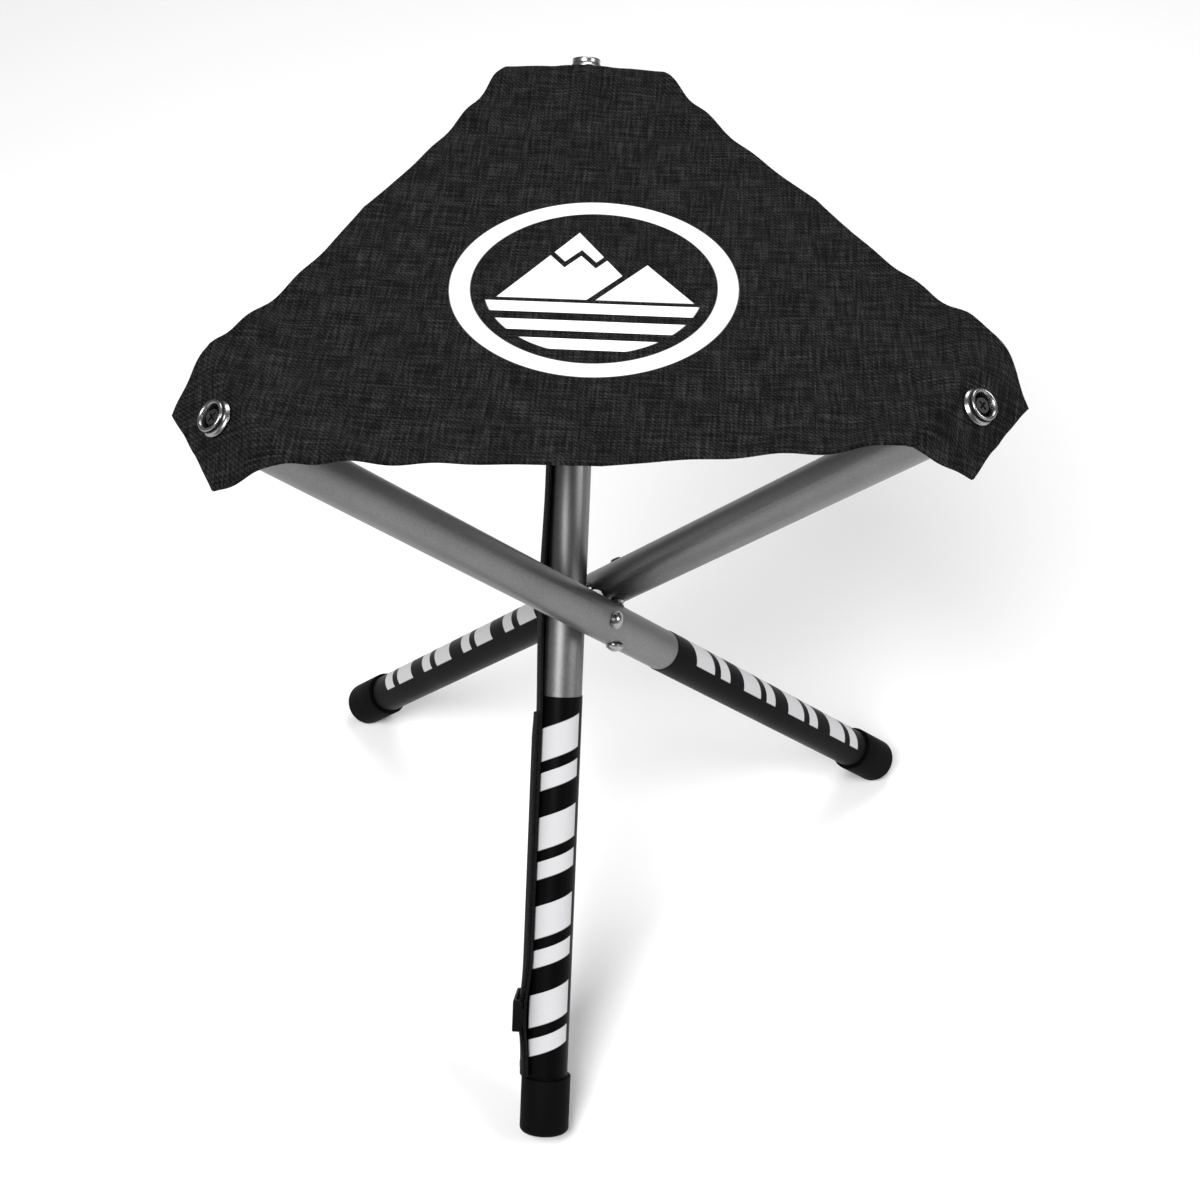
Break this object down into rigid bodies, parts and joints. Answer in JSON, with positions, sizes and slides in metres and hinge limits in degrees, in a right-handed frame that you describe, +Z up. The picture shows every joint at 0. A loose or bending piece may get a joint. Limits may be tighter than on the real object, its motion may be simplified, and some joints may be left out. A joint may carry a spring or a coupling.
{
  "type": "folding three-leg camp stool",
  "caption": "Folding camp stool whose tube legs cross at a central pivot and carry a fabric seat screwed to their upper ends.",
  "frame": {"origin": "on the ground under the centre of the three-way pivot, midway between the feet", "axes": "+Z up; +Y towards the rear corner of the seat; +X to the right of someone who faces that corner"},
  "size_m": [0.3647, 0.3958, 0.4386],
  "materials": {
    "tube_alloy": "satin drawn tube",
    "printed_sleeve": "black printed shrink sleeve with pale bars",
    "foot_rubber": "matt moulded rubber",
    "plug_nylon": "moulded nylon",
    "block_nylon": "natural nylon",
    "seat_fabric": "heathered charcoal woven polyester",
    "screw_chrome": "polished chrome",
    "hub_steel": "nickel plated",
    "strap_webbing": "ribbed black webbing",
    "slider_plastic": "moulded acetal"
  },
  "bodies": {
    "hub": {"pivot_hub": "hub_steel"},
    "leg_rear": {"leg_tube_rear": "tube_alloy", "pivot_block_rear": "block_nylon", "block_rivets_rear": "hub_steel", "leg_sleeve_rear": "printed_sleeve", "foot_cap_rear": "foot_rubber", "end_plug_rear": "plug_nylon", "seat_corner_rear": "seat_fabric", "cup_washer_rear": "screw_chrome", "seat_screw_rear": "screw_chrome", "carry_strap": "strap_webbing", "strap_rivets": "hub_steel"},
    "seat_rear": {"seat_panel_rear": "seat_fabric"},
    "leg_left": {"leg_tube_left": "tube_alloy", "pivot_block_left": "block_nylon", "block_rivets_left": "hub_steel", "leg_sleeve_left": "printed_sleeve", "foot_cap_left": "foot_rubber", "end_plug_left": "plug_nylon", "seat_corner_left": "seat_fabric", "cup_washer_left": "screw_chrome", "seat_screw_left": "screw_chrome"},
    "seat_left": {"seat_panel_left": "seat_fabric"},
    "leg_right": {"leg_tube_right": "tube_alloy", "pivot_block_right": "block_nylon", "block_rivets_right": "hub_steel", "leg_sleeve_right": "printed_sleeve", "foot_cap_right": "foot_rubber", "end_plug_right": "plug_nylon", "seat_corner_right": "seat_fabric", "cup_washer_right": "screw_chrome", "seat_screw_right": "screw_chrome"},
    "seat_right": {"seat_panel_right": "seat_fabric"},
    "slider": {"strap_slider": "slider_plastic"}
  },
  "joints": [
    {"name": "leg_fold_rear", "type": "hinge", "parent": "hub", "child": "leg_rear", "pos_m": [-0.0159, 0, 0.22168], "axis": [1, 0, 0], "range_deg": [0, 41.5], "deforming": ["seat_corner_rear"]},
    {"name": "leg_fold_left", "type": "hinge", "parent": "hub", "child": "leg_left", "pos_m": [0.00795, -0.01377, 0.22168], "axis": [-0.5, 0.866, 0], "range_deg": [0, 41.5], "deforming": ["seat_corner_left"]},
    {"name": "leg_fold_right", "type": "hinge", "parent": "hub", "child": "leg_right", "pos_m": [0.00795, 0.01377, 0.22168], "axis": [-0.5, -0.866, 0], "range_deg": [0, 41.5], "deforming": ["seat_corner_right"]},
    {"name": "seat_fold_rear", "type": "hinge", "parent": "leg_rear", "child": "seat_rear", "pos_m": [-0.0159, 0.17556, 0.43687], "axis": [1, 0, 0], "range_deg": [-135, 0], "deforming": ["seat_panel_rear"]},
    {"name": "seat_fold_left", "type": "hinge", "parent": "leg_left", "child": "seat_left", "pos_m": [-0.14409, -0.10155, 0.43687], "axis": [-0.5, 0.866, 0], "range_deg": [-135, 0], "deforming": ["seat_panel_left"]},
    {"name": "seat_fold_right", "type": "hinge", "parent": "leg_right", "child": "seat_right", "pos_m": [0.15999, -0.07401, 0.43687], "axis": [-0.5, -0.866, 0], "range_deg": [-135, 0], "deforming": ["seat_panel_right"]},
    {"name": "slider_travel", "type": "slide", "parent": "leg_rear", "child": "slider", "axis": [0, 0.6626, 0.749], "range_m": [0, 0.11]}
  ],
  "couplings": [
    {"joint": "leg_fold_right", "follows": "leg_fold_rear", "ratio": 1},
    {"joint": "leg_fold_left", "follows": "leg_fold_rear", "ratio": 1},
    {"joint": "seat_fold_rear", "follows": "leg_fold_rear", "ratio": -3.25},
    {"joint": "seat_fold_left", "follows": "leg_fold_rear", "ratio": -3.25},
    {"joint": "seat_fold_right", "follows": "leg_fold_rear", "ratio": -3.25}
  ]
}
